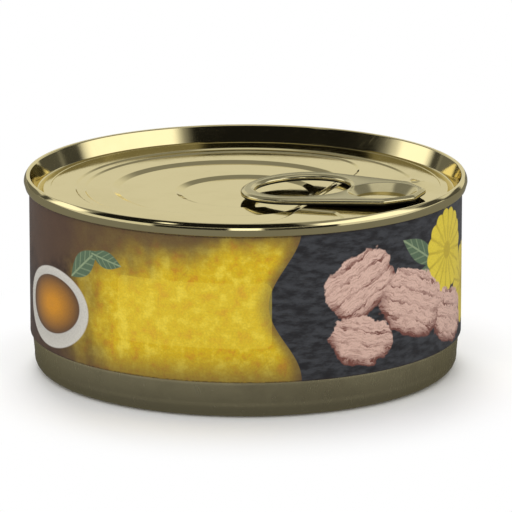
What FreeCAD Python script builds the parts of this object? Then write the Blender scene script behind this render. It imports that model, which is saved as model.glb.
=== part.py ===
"""Round food can with an easy-open end: filled body, label sleeve, seamed lid and pull tab.

Millimetres, +Z up. The origin is the centre of the circle that the can stands on.
The lid and the tab are mirror-symmetric about one plane through the can's axis; they are
drawn with that plane on their own XZ plane and turned into place by lid_turn.
"""
import FreeCAD, Part
import math
import os
import re
import Sketcher

SIZES = {
    # body
    "can_height": 38.7,       # floor to the top of the rim
    "wall_radius": 42.15,     # metal wall under the label
    "wall_sheet": 0.5,
    "base_draw": 0.35,        # how far the wall is drawn in above the bottom corner
    "corner_radius": 2.2,     # bottom corner
    "foot_width": 3.1,        # flat ring that the can stands on
    "foot_rise": 0.8,         # how far the bottom panel stands above that ring
    "foot_slope": 1.2,        # width of the slope between them
    # label sleeve
    "label_low": 7.3,         # its lower edge
    "label_sheet": 0.42,
    "label_gap": 0.05,        # sleeve to wall
    "label_top_gap": 0.1,     # sleeve to the seam above it
    # seam ring
    "seam_reach": 1.5,        # how far the ring stands out from the wall
    "seam_height": 2.6,
    "seam_width": 1.15,       # across the top of the ring
    "seam_bead": 0.5,         # rounding of the ring's top edges
    "seam_draw": 0.3,         # how far its lower edge is drawn in
    "seam_waist": 1.5,        # its widest place, below the rim
    # lid panel
    "plug_gap": 0.05,         # lid to the inside of the wall
    "chuck_sheet": 0.5,
    "panel_depth": 2.75,      # rim to the outer terrace
    "panel_round": 0.3,
    "groove_width": 1.1,
    "groove_depth": 0.7,      # countersink groove below the outer terrace
    "groove_round": 0.4,
    "score_inset": 1.5,       # edge of the panel to the score line
    "score_width": 0.3,
    "score_depth": 0.1,
    "lid_sheet": 0.33,        # metal under the lowest terrace
    # terraces, each one step below the last
    "step_depth": 0.5,
    "shelf_depth": 0.25,      # shallow pocket beside the tab's nose
    "shelf_margin": 6.4,      # edge of the panel to the shelf
    "shelf_angle": 34.0,      # where the shelf ends, each side of the mirror plane
    "shelf_notch": 4.6,       # rivet to the inner corner of the shelf's end
    "shelf_spread": 13.9,
    "ring1_inset": 1.3,       # shelf to the first ring
    "ring1_offset": 11.6,     # rivet to the ring's flat side
    "ring1_corner": 14.0,
    "ring1_slope": 1.0,
    "ring2_inset": 8.5,       # first ring to the second
    "ring2_shift": 2.7,
    "ring2_offset": 1.6,
    "ring2_corner": 12.5,
    "ring2_slope": 1.4,
    "ring3_offset": 0.1,      # foot of the second ring to the third
    "ring3_slope": 1.4,
    # rivet and tab
    "lid_turn": -21.0,        # mirror plane's turn about +Z, degrees
    "rivet_inset": 11.4,      # edge of the panel to the rivet
    "rivet_slack": 0.4,       # shank inside the tab's hole
    "rivet_grip": 0.15,       # head beyond the edge of the hole
    "rivet_neck": 0.2,
    "rivet_flare": 0.3,
    "tab_tilt": 1.5,          # droop of the loop, degrees
    "tab_lift": 0.4,          # outer terrace to the tab's underside at its rivet
    "tab_sheet": 1.25,
    "tab_round": 0.5,
    "loop_radius": 12.6,
    "loop_shift": 0.7,        # loop's centre to the opening's
    "opening_radius": 9.35,
    "opening_web": 0.5,       # web between the opening and the dish
    "nose_corner": 3.0,
    "nose_flank": 1.35,       # dish to the flank
    "nose_margin": 1.15,      # dish to the end of the nose
    "nose_end": 3.5,
    "nose_round": 1.5,
    "dish_hole": 4.6,
    "dish_flare": 2.15,       # hole to the top of the dish
    "dish_drop": 0.2,         # collar below the tab's plate
    "collar_sheet": 0.85,
}

# Sizes that follow from the ones above, each from those before it.
DERIVED = {
    "base_radius": "wall_radius - base_draw",
    "foot_inner": "base_radius - corner_radius - foot_width",
    "seam_radius": "wall_radius + seam_reach",
    "plug_radius": "wall_radius - wall_sheet - plug_gap",
    "chuck_foot": "plug_radius - chuck_sheet",
    "panel_radius": "chuck_foot - groove_width",
    "score_radius": "panel_radius - score_inset",
    "rivet_place": "panel_radius - rivet_inset",
    "shelf_radius": "panel_radius - shelf_margin",
    "shelf_inset": "rivet_place - shelf_notch",
    "ring1_radius": "shelf_radius - ring1_inset",
    "ring1_flat": "rivet_place - ring1_offset",
    "ring2_radius": "ring1_radius - ring2_inset",
    "ring2_flat": "ring1_flat - ring2_offset",
    "ring3_radius": "ring2_flat - ring2_slope - ring3_offset",
    "rivet_shank": "dish_hole - rivet_slack",
    "rivet_head": "dish_hole + rivet_grip",
    "dish_radius": "dish_hole + dish_flare",
    "collar_radius": "dish_hole + collar_sheet",
    "opening_place": "dish_radius + opening_web + opening_radius",
    "loop_place": "opening_place - loop_shift",
    "nose_width": "dish_radius + nose_flank",
    "nose_length": "dish_radius + nose_margin",
}

doc = FreeCAD.newDocument("food_can")
sheet = doc.addObject("Spreadsheet::Sheet", "Sizes")
cells = dict(SIZES)
cells.update((alias, f"={text}") for alias, text in DERIVED.items())
for row, (alias, content) in enumerate(cells.items(), start=1):
    sheet.set(f"A{row}", alias)
    sheet.set(f"B{row}", str(content))
    sheet.setAlias(f"B{row}", alias)
doc.recompute()


def full(text):
    """Spell an expression out: each alias gets the sheet's name before it."""
    def spell(word):
        return f"Sizes.{word.group()}" if word.group() in cells else word.group()

    return re.sub(r"[a-z]\w*", spell, text)


def value(text):
    """Value of an expression in the sheet's aliases."""
    return float(sheet.evalExpression(full(text)))


def plane(body, role):
    """One of a body's own origin planes."""
    return next(item for item in body.Origin.OriginFeatures if item.Role == role)


def new_sketch(body, name, role, height=None):
    """A sketch on an origin plane, lifted off it by an expression."""
    sketch = body.newObject("Sketcher::SketchObject", name)
    sketch.AttachmentSupport = [(plane(body, role), "")]
    sketch.MapMode = "FlatFace"
    if height:
        sketch.setExpression("AttachmentOffset.Base.z", full(height))
    return sketch


def bind(sketch, constraint, text):
    """Add a dimension and tie it to an expression."""
    index = sketch.addConstraint(constraint)
    sketch.setExpression(f"Constraints[{index}]", full(text))


def pin_point(sketch, edge, end, place):
    """Hold one end of an edge at a place given as two expressions."""
    for text, kind in zip(place, ("DistanceX", "DistanceY")):
        number = value(text)
        if abs(number) < 1e-9:
            other = -2 if kind == "DistanceX" else -1
            sketch.addConstraint(Sketcher.Constraint("PointOnObject", edge, end, other))
        elif number > 0:
            bind(sketch, Sketcher.Constraint(kind, -1, 1, edge, end, number), text)
        else:
            bind(sketch, Sketcher.Constraint(kind, edge, end, -1, 1, -number), f"-({text})")


def outline(sketch, places, bulges=()):
    """Closed outline through places, drawn anticlockwise.

    Side n runs from place n to the next one. bulges gives a side's arc radius and 1 where the
    arc turns left, or -1 where it turns right. The other sides are straight.
    """
    bulges = dict(bulges)
    points = [FreeCAD.Vector(value(x), value(y), 0) for x, y in places]
    count = len(points)
    starts = []
    for side, start in enumerate(points):
        end = points[(side + 1) % count]
        if side not in bulges:
            sketch.addGeometry(Part.LineSegment(start, end))
            starts.append(1)
            continue
        radius_text, sense = bulges[side]
        radius = value(radius_text)
        chord = end - start
        across = FreeCAD.Vector(-chord.y, chord.x, 0).normalize() * sense
        sagitta = radius - max(radius ** 2 - (chord.Length / 2) ** 2, 0.0) ** 0.5
        middle = (start + end) * 0.5 - across * sagitta
        ends = (start, middle, end) if sense > 0 else (end, middle, start)
        sketch.addGeometry(Part.Arc(*ends))
        starts.append(1 if sense > 0 else 2)
    for side, place in enumerate(places):
        after = (side + 1) % count
        sketch.addConstraint(
            Sketcher.Constraint("Coincident", side, 3 - starts[side], after, starts[after]))
        pin_point(sketch, side, starts[side], place)
        if side in bulges:
            radius_text = bulges[side][0]
            bind(sketch, Sketcher.Constraint("Radius", side, value(radius_text)), radius_text)


def circle(sketch, radius, centre=("0", "0")):
    """A circle tied to expressions."""
    middle = FreeCAD.Vector(value(centre[0]), value(centre[1]), 0)
    sketch.addGeometry(Part.Circle(middle, FreeCAD.Vector(0, 0, 1), value(radius)))
    pin_point(sketch, 0, 3, centre)
    bind(sketch, Sketcher.Constraint("Radius", 0, value(radius)), radius)


def revolve(body, sketch, name):
    """A full turn of a profile about the body's upright axis."""
    feature = body.newObject("PartDesign::Revolution", name)
    feature.Profile = sketch
    feature.ReferenceAxis = (sketch, ["V_Axis"])
    feature.Angle = 360
    body.Tip = feature
    doc.recompute()
    return feature


def new_body(label):
    """A body whose label names its file."""
    body = doc.addObject("PartDesign::Body", label)
    body.Label = label
    return body


def turn_into_place(body, reach="0", height="0", pitch="0"):
    """Turn a body onto the mirror plane of the lid, reach out along it and up."""
    base = f"create(<<vector>>; ({reach}) * cos(lid_turn); ({reach}) * sin(lid_turn); {height})"
    turn = f"create(<<rotation>>; lid_turn; {pitch}; 0)"
    body.setExpression("Placement", full(f"create(<<placement>>; {base}; {turn})"))


SEAM_LOW = "can_height - seam_height"
PANEL = "can_height - panel_depth"
SEAT = f"{PANEL} - 3 * step_depth - lid_sheet"


def make_can_body():
    """Wall, bottom and contents as one filled solid, open at the top for the lid's plug."""
    body = new_body("can_body")
    profile = new_sketch(body, "wall_profile", "XZ_Plane")
    places = [
        ("0", "foot_rise"),
        ("foot_inner - foot_slope", "foot_rise"),
        ("foot_inner", "0"),
        ("base_radius - corner_radius", "0"),
        ("base_radius", "corner_radius"),
        ("wall_radius", "label_low"),
        ("wall_radius", SEAM_LOW),
        ("wall_radius - wall_sheet", SEAM_LOW),
        ("wall_radius - wall_sheet", SEAT),
        ("0", SEAT),
    ]
    outline(profile, places, {3: ("corner_radius", 1)})
    revolve(body, profile, "wall")
    return body


def make_label():
    """Printed sleeve round the wall, from near the bottom up to the seam."""
    body = new_body("label")
    profile = new_sketch(body, "sleeve_profile", "XZ_Plane")
    places = [
        ("wall_radius + label_gap", "label_low"),
        ("wall_radius + label_gap + label_sheet", "label_low"),
        ("wall_radius + label_gap + label_sheet", f"{SEAM_LOW} - label_top_gap"),
        ("wall_radius + label_gap", f"{SEAM_LOW} - label_top_gap"),
    ]
    outline(profile, places)
    revolve(body, profile, "sleeve")
    return body


def make_lid_blank(body):
    """Seam ring, wall inside the rim, countersink groove and scored outer terrace."""
    profile = new_sketch(body, "lid_profile", "XZ_Plane")
    inner_rim = "seam_radius - seam_width"
    groove = f"{PANEL} - groove_depth"
    places = [
        ("0", SEAT),
        ("plug_radius", SEAT),
        ("plug_radius", SEAM_LOW),
        ("seam_radius - seam_draw", SEAM_LOW),
        ("seam_radius", "can_height - seam_waist"),
        ("seam_radius", "can_height - seam_bead"),
        ("seam_radius - seam_bead", "can_height"),
        (f"{inner_rim} + seam_bead", "can_height"),
        (inner_rim, "can_height - seam_bead"),
        ("chuck_foot", f"{groove} + groove_round"),
        ("chuck_foot - groove_round", groove),
        ("panel_radius + groove_round", groove),
        ("panel_radius", f"{groove} + groove_round"),
        ("panel_radius", f"{PANEL} - panel_round"),
        ("panel_radius - panel_round", PANEL),
        ("score_radius + 0.5 * score_width", PANEL),
        ("score_radius", f"{PANEL} - score_depth"),
        ("score_radius - 0.5 * score_width", PANEL),
        ("0", PANEL),
    ]
    bulges = {
        5: ("seam_bead", 1),
        7: ("seam_bead", 1),
        9: ("groove_round", -1),
        11: ("groove_round", -1),
        13: ("panel_round", 1),
    }
    outline(profile, places, bulges)
    revolve(body, profile, "lid_blank")


def d_outline(sketch, radius, shift, flat, corner):
    """Round outline with one flat side at +X, joined to it by large corners.

    The round part's centre lies shift towards -X. The corners are tangent to both sides.
    """
    big = value(radius)
    small = value(corner)
    centre_x = -value(shift)
    corner_x = value(flat) - small
    corner_y = ((big - small) ** 2 - (corner_x - centre_x) ** 2) ** 0.5
    turn = math.atan2(corner_y, corner_x - centre_x)

    def spot(x, y, reach, angle):
        return FreeCAD.Vector(x + reach * math.cos(angle), y + reach * math.sin(angle), 0)

    touch = spot(centre_x, 0, big, turn)
    far = spot(centre_x, 0, big, math.pi)
    touch_below = spot(centre_x, 0, big, -turn)
    knee = spot(corner_x, corner_y, small, turn / 2)
    knee_below = spot(corner_x, -corner_y, small, -turn / 2)
    end = spot(corner_x, corner_y, small, 0)
    end_below = spot(corner_x, -corner_y, small, 0)
    sketch.addGeometry(Part.Arc(touch, far, touch_below))
    sketch.addGeometry(Part.Arc(touch_below, knee_below, end_below))
    sketch.addGeometry(Part.LineSegment(end_below, end))
    sketch.addGeometry(Part.Arc(end, knee, touch))
    for side in range(4):
        sketch.addConstraint(Sketcher.Constraint("Tangent", side, 2, (side + 1) % 4, 1))
    sketch.addConstraint(Sketcher.Constraint("Vertical", 2))
    sketch.addConstraint(Sketcher.Constraint("Equal", 3, 1))
    pin_point(sketch, 0, 3, (f"-({shift})", "0"))
    bind(sketch, Sketcher.Constraint("Radius", 0, big), radius)
    bind(sketch, Sketcher.Constraint("Radius", 3, small), corner)
    bind(sketch, Sketcher.Constraint("DistanceX", -1, 1, 2, 1, value(flat)), flat)


def cut_between(body, name, upper, lower):
    """Remove what lies between an outline and a smaller one below it."""
    feature = body.newObject("PartDesign::SubtractiveLoft", name)
    feature.Profile = upper
    feature.Sections = [lower]
    feature.Ruled = True
    body.Tip = feature
    doc.recompute()
    return feature


def make_lid():
    """Lid of one sheet: seam, terraced panel and the rivet that holds the tab."""
    body = new_body("lid")
    make_lid_blank(body)

    shelf = new_sketch(body, "shelf_outline", "XY_Plane", PANEL)
    edge_x = "shelf_radius * cos(shelf_angle)"
    edge_y = "shelf_radius * sin(shelf_angle)"
    places = [
        (edge_x, edge_y),
        (f"-({edge_x})", edge_y),
        (f"-({edge_x})", f"-({edge_y})"),
        (edge_x, f"-({edge_y})"),
        ("shelf_inset", "-shelf_spread"),
        ("ring1_flat - ring1_slope", "-shelf_spread"),
        ("ring1_flat - ring1_slope", "shelf_spread"),
        ("shelf_inset", "shelf_spread"),
    ]
    outline(shelf, places, {0: ("shelf_radius", 1), 1: ("shelf_radius", 1), 2: ("shelf_radius", 1)})
    pocket = body.newObject("PartDesign::Pocket", "shelf")
    pocket.Profile = shelf
    pocket.setExpression("Length", full("shelf_depth"))
    body.Tip = pocket
    doc.recompute()

    terraces = (("ring1", 0), ("ring2", 1))
    for name, level in terraces:
        shift = f"{name}_shift" if f"{name}_shift" in cells else "0"
        rise = f"{PANEL} - {level} * step_depth"
        upper = new_sketch(body, f"{name}_upper", "XY_Plane", rise)
        d_outline(upper, f"{name}_radius", shift, f"{name}_flat", f"{name}_corner")
        lower = new_sketch(body, f"{name}_lower", "XY_Plane", f"{rise} - step_depth")
        d_outline(lower, f"{name}_radius - {name}_slope", shift, f"{name}_flat - {name}_slope",
                  f"{name}_corner - {name}_slope")
        cut_between(body, name, upper, lower)

    upper = new_sketch(body, "ring3_upper", "XY_Plane", f"{PANEL} - 2 * step_depth")
    circle(upper, "ring3_radius")
    lower = new_sketch(body, "ring3_lower", "XY_Plane", f"{PANEL} - 3 * step_depth")
    circle(lower, "ring3_radius - ring3_slope")
    cut_between(body, "ring3", upper, lower)

    for name, low, high, rise, length in (
        ("rivet_post", "rivet_shank", "rivet_shank", "0", "rivet_neck"),
        ("rivet_rim", "rivet_shank", "rivet_head", "rivet_neck", "rivet_flare"),
    ):
        post = body.newObject("PartDesign::AdditiveCone", name)
        post.AttachmentSupport = [(plane(body, "XY_Plane"), "")]
        post.MapMode = "FlatFace"
        post.setExpression("Radius1", full(low))
        post.setExpression("Radius2", full(high))
        post.setExpression("Height", full(length))
        post.setExpression("AttachmentOffset.Base.x", full("rivet_place"))
        post.setExpression("AttachmentOffset.Base.z", full(f"{PANEL} + {rise}"))
        body.Tip = post
        doc.recompute()
    turn_into_place(body)
    return body


def tab_outline(sketch):
    """Tab seen from above: round loop, straight flanks and a nose with cut corners."""
    loop_x = -value("loop_place")
    radius = value("loop_radius")
    corner_x = value("nose_corner")
    corner_y = value("nose_width")
    nose_x = value("nose_length")
    nose_y = value("nose_end")
    reach = math.hypot(corner_x - loop_x, corner_y)
    turn = math.atan2(corner_y, corner_x - loop_x) + math.acos(radius / reach)
    touch_x = loop_x + radius * math.cos(turn)
    touch_y = radius * math.sin(turn)
    corners = [(nose_x, -nose_y), (nose_x, nose_y), (corner_x, corner_y), (touch_x, touch_y)]
    corners += [(touch_x, -touch_y), (corner_x, -corner_y)]
    points = [FreeCAD.Vector(x, y, 0) for x, y in corners]
    tip = FreeCAD.Vector(loop_x - radius, 0, 0)
    for side in range(3):
        sketch.addGeometry(Part.LineSegment(points[side], points[side + 1]))
    sketch.addGeometry(Part.Arc(points[3], tip, points[4]))
    sketch.addGeometry(Part.LineSegment(points[4], points[5]))
    sketch.addGeometry(Part.LineSegment(points[5], points[0]))
    joins = ("Coincident", "Coincident", "Tangent", "Tangent", "Coincident", "Coincident")
    for side, kind in enumerate(joins):
        sketch.addConstraint(Sketcher.Constraint(kind, side, 2, (side + 1) % 6, 1))
    pin_point(sketch, 0, 1, ("nose_length", "-nose_end"))
    pin_point(sketch, 1, 1, ("nose_length", "nose_end"))
    pin_point(sketch, 2, 1, ("nose_corner", "nose_width"))
    pin_point(sketch, 5, 1, ("nose_corner", "-nose_width"))
    pin_point(sketch, 3, 3, ("-loop_place", "0"))
    bind(sketch, Sketcher.Constraint("Radius", 3, radius), "loop_radius")


def round_edges(body, name, radius, chosen):
    """Round the edges of the tip that a test picks."""
    base = body.Tip
    edges = [f"Edge{number}" for number, edge in enumerate(base.Shape.Edges, start=1) if chosen(edge)]
    feature = body.newObject("PartDesign::Fillet", name)
    feature.Base = (base, edges)
    feature.setExpression("Radius", full(radius))
    body.Tip = feature
    doc.recompute()


def make_pull_tab():
    """Ring to pull by, web and nose, with a dished hole for the rivet.

    Drawn with its top on the XY plane and the hole's axis on Z, then set down over the rivet.
    """
    body = new_body("pull_tab")
    underside = "-tab_sheet"
    plate = new_sketch(body, "tab_outline", "XY_Plane", underside)
    tab_outline(plate)
    pad = body.newObject("PartDesign::Pad", "tab_plate")
    pad.Profile = plate
    pad.setExpression("Length", full("tab_sheet"))
    body.Tip = pad
    doc.recompute()

    round_edges(body, "nose_corners", "nose_round",
                lambda edge: edge.BoundBox.ZLength > 0.5 * value("tab_sheet") and edge.Vertexes[0].X > 0)

    opening = new_sketch(body, "opening_outline", "XY_Plane", "0")
    circle(opening, "opening_radius", ("-opening_place", "0"))
    pocket = body.newObject("PartDesign::Pocket", "finger_opening")
    pocket.Profile = opening
    pocket.setExpression("Length", full("tab_sheet"))
    body.Tip = pocket
    doc.recompute()

    round_edges(body, "curled_edges", "tab_round",
                lambda edge: edge.BoundBox.ZLength < 1e-6)

    collar = body.newObject("PartDesign::AdditiveCylinder", "collar")
    dish = body.newObject("PartDesign::SubtractiveCone", "dish")
    for feature in (collar, dish):
        feature.AttachmentSupport = [(plane(body, "XY_Plane"), "")]
        feature.MapMode = "FlatFace"
        feature.setExpression("AttachmentOffset.Base.z", full("-tab_sheet - dish_drop"))
    collar.setExpression("Radius", full("collar_radius"))
    collar.setExpression("Height", full("dish_drop + 0.5 * tab_sheet"))
    dish.setExpression("Radius1", full("dish_hole"))
    dish.setExpression("Radius2", full("dish_radius"))
    dish.setExpression("Height", full("tab_sheet + dish_drop"))
    body.Tip = dish
    turn_into_place(body, "rivet_place", f"{PANEL} + tab_lift + tab_sheet", "-tab_tilt")
    return body


def main():
    """Build every sub-part, check it and write it out."""
    bodies = [make_can_body(), make_label(), make_lid(), make_pull_tab()]
    doc.recompute()
    failed = [item.Name for item in doc.Objects if {"Invalid", "Error"} & set(item.State)]
    if failed:
        raise RuntimeError(f"failed to build: {failed}")
    for body in bodies:
        if body.Shape.isNull() or not body.Shape.isValid() or len(body.Shape.Solids) != 1:
            raise RuntimeError(f"{body.Label} isn't one valid solid")
    os.makedirs("parts", exist_ok=True)
    for body in bodies:
        body.Shape.exportStep(f"parts/{body.Label}.step")
        print(f"{body.Label}: {body.Shape.Volume:.1f} mm3")


main()
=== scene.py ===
"""Looks of a round food can with a ring-pull lid: metal, printed sleeve, studio and camera.

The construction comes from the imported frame. Each sub-assembly is a class whose sizes are
dataclass fields in metres; it builds its meshes, dresses them and sets them on the frame.
"""

import logging
import math
from dataclasses import dataclass, field
from enum import Enum
from typing import Callable, Iterable, Optional, Sequence, Union

import bmesh
import bpy
import numpy as np
from mathutils import Matrix, Vector
from mathutils.geometry import delaunay_2d_cdt

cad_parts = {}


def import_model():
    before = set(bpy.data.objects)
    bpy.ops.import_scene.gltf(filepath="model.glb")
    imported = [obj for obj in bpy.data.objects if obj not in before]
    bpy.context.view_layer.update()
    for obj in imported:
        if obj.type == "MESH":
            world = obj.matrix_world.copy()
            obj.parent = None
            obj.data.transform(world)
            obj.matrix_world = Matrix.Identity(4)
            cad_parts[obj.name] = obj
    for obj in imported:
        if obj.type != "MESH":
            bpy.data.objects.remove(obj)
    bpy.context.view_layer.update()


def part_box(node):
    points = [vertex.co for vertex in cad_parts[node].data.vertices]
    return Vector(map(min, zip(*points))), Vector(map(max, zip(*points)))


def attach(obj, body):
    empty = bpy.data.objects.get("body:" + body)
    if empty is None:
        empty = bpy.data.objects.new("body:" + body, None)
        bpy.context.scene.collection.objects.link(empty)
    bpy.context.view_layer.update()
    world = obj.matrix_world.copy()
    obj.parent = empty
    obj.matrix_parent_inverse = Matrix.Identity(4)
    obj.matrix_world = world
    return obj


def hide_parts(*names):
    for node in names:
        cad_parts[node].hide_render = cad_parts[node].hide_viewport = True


LOG = logging.getLogger("food_can")
BODY = "root"
MM = 0.001
Point2 = tuple[float, float]
Colour = tuple[float, float, float]
Socket = bpy.types.NodeSocket
Feed = Union[Socket, float, str, tuple]


# ----------------------------------------------------------------------------- helpers
def srgb(red: int, green: int, blue: int) -> Colour:
    """Turn a colour as seen on a screen into the linear values that shaders use.

    Args:
        red: Red from 0 to 255.
        green: Green from 0 to 255.
        blue: Blue from 0 to 255.

    Returns:
        The colour as linear red, green and blue from 0 to 1.
    """
    def linear(part: int) -> float:
        """Undo the screen curve for one channel."""
        share = part / 255.0
        return share / 12.92 if share <= 0.04045 else ((share + 0.055) / 1.055) ** 2.4

    return linear(red), linear(green), linear(blue)


def smooth_step(low: float, high: float, value: np.ndarray) -> np.ndarray:
    """Rise smoothly from 0 at low to 1 at high.

    Args:
        low: Where the rise starts.
        high: Where it ends.
        value: Places at which it is wanted.

    Returns:
        The rise at each place.
    """
    share = np.clip((value - low) / (high - low), 0.0, 1.0)
    return share * share * (3.0 - 2.0 * share)


def eased_ramp(distance: np.ndarray, width: float, ease: float) -> np.ndarray:
    """Fall of a pressed step: straight between two short rounded ends.

    Args:
        distance: How far inside the step's upper edge each place is.
        width: Width of the step's slope.
        ease: Length over which each end of the slope is rounded.

    Returns:
        0 before the step and 1 past it.
    """
    def integral(place: np.ndarray) -> np.ndarray:
        """Area under a rounded switch-on that is centred on place 0.

        Args:
            place: Where the area ends.

        Returns:
            The area up to each place.
        """
        share = np.clip((place + ease) / (2 * ease), 0.0, 1.0)
        inside = 2 * ease * (share ** 3 - 0.5 * share ** 4)
        return np.where(place > ease, place, inside)

    return (integral(distance) - integral(distance - width)) / width


def fillet_path(points: Sequence[tuple[float, float, float]], closed: bool, steps: int = 6,
                support: float = 0.06 * MM) -> list[Point2]:
    """Round the corners of a path and set a supporting point beside each rounding.

    Args:
        points: Each corner as x, y and the radius of its rounding.
        closed: Whether the last corner joins the first.
        steps: Straight pieces in each rounding.
        support: How far the supporting point lies past the end of a rounding.

    Returns:
        The points of the finished path, in order.
    """
    path: list[Point2] = []
    count = len(points)
    for number, (x, y, radius) in enumerate(points):
        at_end = not closed and number in (0, count - 1)
        if radius <= 0.0 or at_end:
            path.append((x, y))
            continue
        corner = Vector((x, y))
        before = (Vector(points[number - 1][:2]) - corner).normalized()
        after = (Vector(points[(number + 1) % count][:2]) - corner).normalized()
        opening = before.angle(after)
        reach = radius / math.tan(opening / 2)
        middle = corner + (before + after).normalized() * (radius / math.sin(opening / 2))
        start = corner + before * reach
        end = corner + after * reach
        path.append(tuple(start + before * support))
        spoke_a = start - middle
        spoke_b = end - middle
        turn = spoke_a.angle(spoke_b)
        for step in range(steps + 1):
            share = step / steps
            weight_a = math.sin((1 - share) * turn) / math.sin(turn)
            weight_b = math.sin(share * turn) / math.sin(turn)
            path.append(tuple(middle + spoke_a * weight_a + spoke_b * weight_b))
        path.append(tuple(end + after * support))
    return path


def make_object(name: str, vertices: Sequence, faces: Sequence) -> bpy.types.Object:
    """Make a smooth-shaded mesh object at the origin.

    Args:
        name: Name of the object and its mesh.
        vertices: Corner places in metres.
        faces: Corner numbers of each face, anticlockwise from outside.

    Returns:
        The new object, linked to the scene.
    """
    mesh = bpy.data.meshes.new(name)
    mesh.from_pydata([tuple(vertex) for vertex in vertices], [], [tuple(face) for face in faces])
    mesh.polygons.foreach_set("use_smooth", [True] * len(mesh.polygons))
    mesh.update()
    made = bpy.data.objects.new(name, mesh)
    bpy.context.scene.collection.objects.link(made)
    return made


def settle(piece: bpy.types.Object, slot: str, *nodes: str) -> None:
    """Set a finished piece on the frame.

    Args:
        piece: The piece, in place.
        slot: Not used.
        nodes: CAD nodes that it stands for.
    """
    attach(piece, BODY)
    if nodes:
        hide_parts(*nodes)
    LOG.info("%s: %d faces", piece.name, len(piece.data.polygons))


# ----------------------------------------------------------------------------- node writing
class Graph:
    """Short way of writing a node tree, for shaders and for geometry alike."""

    def __init__(self, tree: bpy.types.NodeTree) -> None:
        """Write into a tree.

        Args:
            tree: The tree to write into.
        """
        self.tree = tree

    def node(self, kind: str, inputs: Optional[dict] = None, **settings: object) -> bpy.types.Node:
        """Add a node.

        Args:
            kind: The node's type name.
            inputs: Values or sockets by input name or number.
            settings: Properties of the node itself.

        Returns:
            The new node.
        """
        made = self.tree.nodes.new(kind)
        for name, value in settings.items():
            setattr(made, name, value)
        for name, value in (inputs or {}).items():
            self.feed(made.inputs[name], value)
        return made

    def feed(self, socket: Socket, value: Feed) -> None:
        """Link a socket to another, or set its value.

        Args:
            socket: Input that is fed.
            value: Output to link, or a plain value.
        """
        if isinstance(value, Socket):
            self.tree.links.new(value, socket)
        elif isinstance(value, tuple) and len(value) == 3 and socket.type == "RGBA":
            socket.default_value = (*value, 1.0)
        else:
            socket.default_value = value

    def math(self, operation: str, *values: Feed, clamp: bool = False) -> Socket:
        """Add one Math node.

        Args:
            operation: Its operation.
            values: Its inputs in order.
            clamp: Whether the result is kept from 0 to 1.

        Returns:
            The result's socket.
        """
        made = self.node("ShaderNodeMath", dict(enumerate(values)), operation=operation, use_clamp=clamp)
        return made.outputs[0]

    def plus(self, first: Feed, second: Feed, clamp: bool = False) -> Socket:
        """Add two values."""
        return self.math("ADD", first, second, clamp=clamp)

    def minus(self, first: Feed, second: Feed, clamp: bool = False) -> Socket:
        """Take the second value from the first."""
        return self.math("SUBTRACT", first, second, clamp=clamp)

    def times(self, first: Feed, second: Feed) -> Socket:
        """Multiply two values."""
        return self.math("MULTIPLY", first, second)

    def split(self, vector: Feed) -> bpy.types.NodeOutputs:
        """Split a vector into its X, Y and Z."""
        return self.node("ShaderNodeSeparateXYZ", {0: vector}).outputs

    def vector(self, operation: str, *values: Feed, output: int = 0) -> Socket:
        """Add one Vector Math node and return the chosen result."""
        made = self.node("ShaderNodeVectorMath", dict(enumerate(values)), operation=operation)
        return made.outputs[output]

    def ramp(self, value: Feed, low: Feed, high: Feed, start: Feed = 0.0, end: Feed = 1.0) -> Socket:
        """Rise smoothly from start, at low, to end, at high.

        Args:
            value: What is measured.
            low: Where the rise starts.
            high: Where it ends.
            start: Result up to low.
            end: Result from high on.

        Returns:
            The result's socket.
        """
        inputs = {"Value": value, "From Min": low, "From Max": high, "To Min": start, "To Max": end}
        return self.node("ShaderNodeMapRange", inputs, interpolation_type="SMOOTHSTEP").outputs["Result"]

    def mix(self, mask: Feed, first: Feed, second: Feed) -> Socket:
        """Lay one colour over another.

        Args:
            mask: Share of the second colour.
            first: Colour underneath.
            second: Colour on top.

        Returns:
            The mixed colour's socket.
        """
        made = self.node("ShaderNodeMix", data_type="RGBA")
        self.feed(made.inputs["Factor"], mask)
        self.feed(made.inputs[6], first)
        self.feed(made.inputs[7], second)
        return made.outputs[2]

    def noise(self, vector: Feed, scale: float, detail: float = 2.0, roughness: float = 0.5,
              output: str = "Fac") -> Socket:
        """Add a noise texture and return its result."""
        inputs = {"Vector": vector, "Scale": scale, "Detail": detail, "Roughness": roughness}
        return self.node("ShaderNodeTexNoise", inputs).outputs[output]

    def stretched(self, vector: Feed, scale: Sequence[float], turn: float = 0.0) -> Socket:
        """Scale and turn a pattern's space."""
        inputs = {"Vector": vector, "Scale": tuple(scale), "Rotation": (0.0, 0.0, turn)}
        return self.node("ShaderNodeMapping", inputs).outputs[0]


def new_material(name: str) -> tuple[bpy.types.Material, Graph, bpy.types.Node]:
    """Start a material.

    Args:
        name: Name of the material.

    Returns:
        The material, its tree and the shader in it.
    """
    material = bpy.data.materials.new(name)
    material.use_nodes = True
    return material, Graph(material.node_tree), material.node_tree.nodes["Principled BSDF"]


def glow(graph: Graph, strength: Feed) -> Socket:
    """Add white light of a given strength."""
    return graph.node("ShaderNodeEmission", {"Color": (1.0, 1.0, 1.0), "Strength": strength}).outputs[0]


def surface(material: bpy.types.Material) -> Socket:
    """The material's Surface input."""
    return material.node_tree.nodes["Material Output"].inputs["Surface"]


def relief(graph: Graph, shader: bpy.types.Node, height: Socket) -> None:
    """Give a shader small relief, with heights in millimetres."""
    bump = graph.node("ShaderNodeBump", {"Height": height, "Strength": 1.0, "Distance": 0.001})
    graph.feed(shader.inputs["Normal"], bump.outputs[0])


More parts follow.
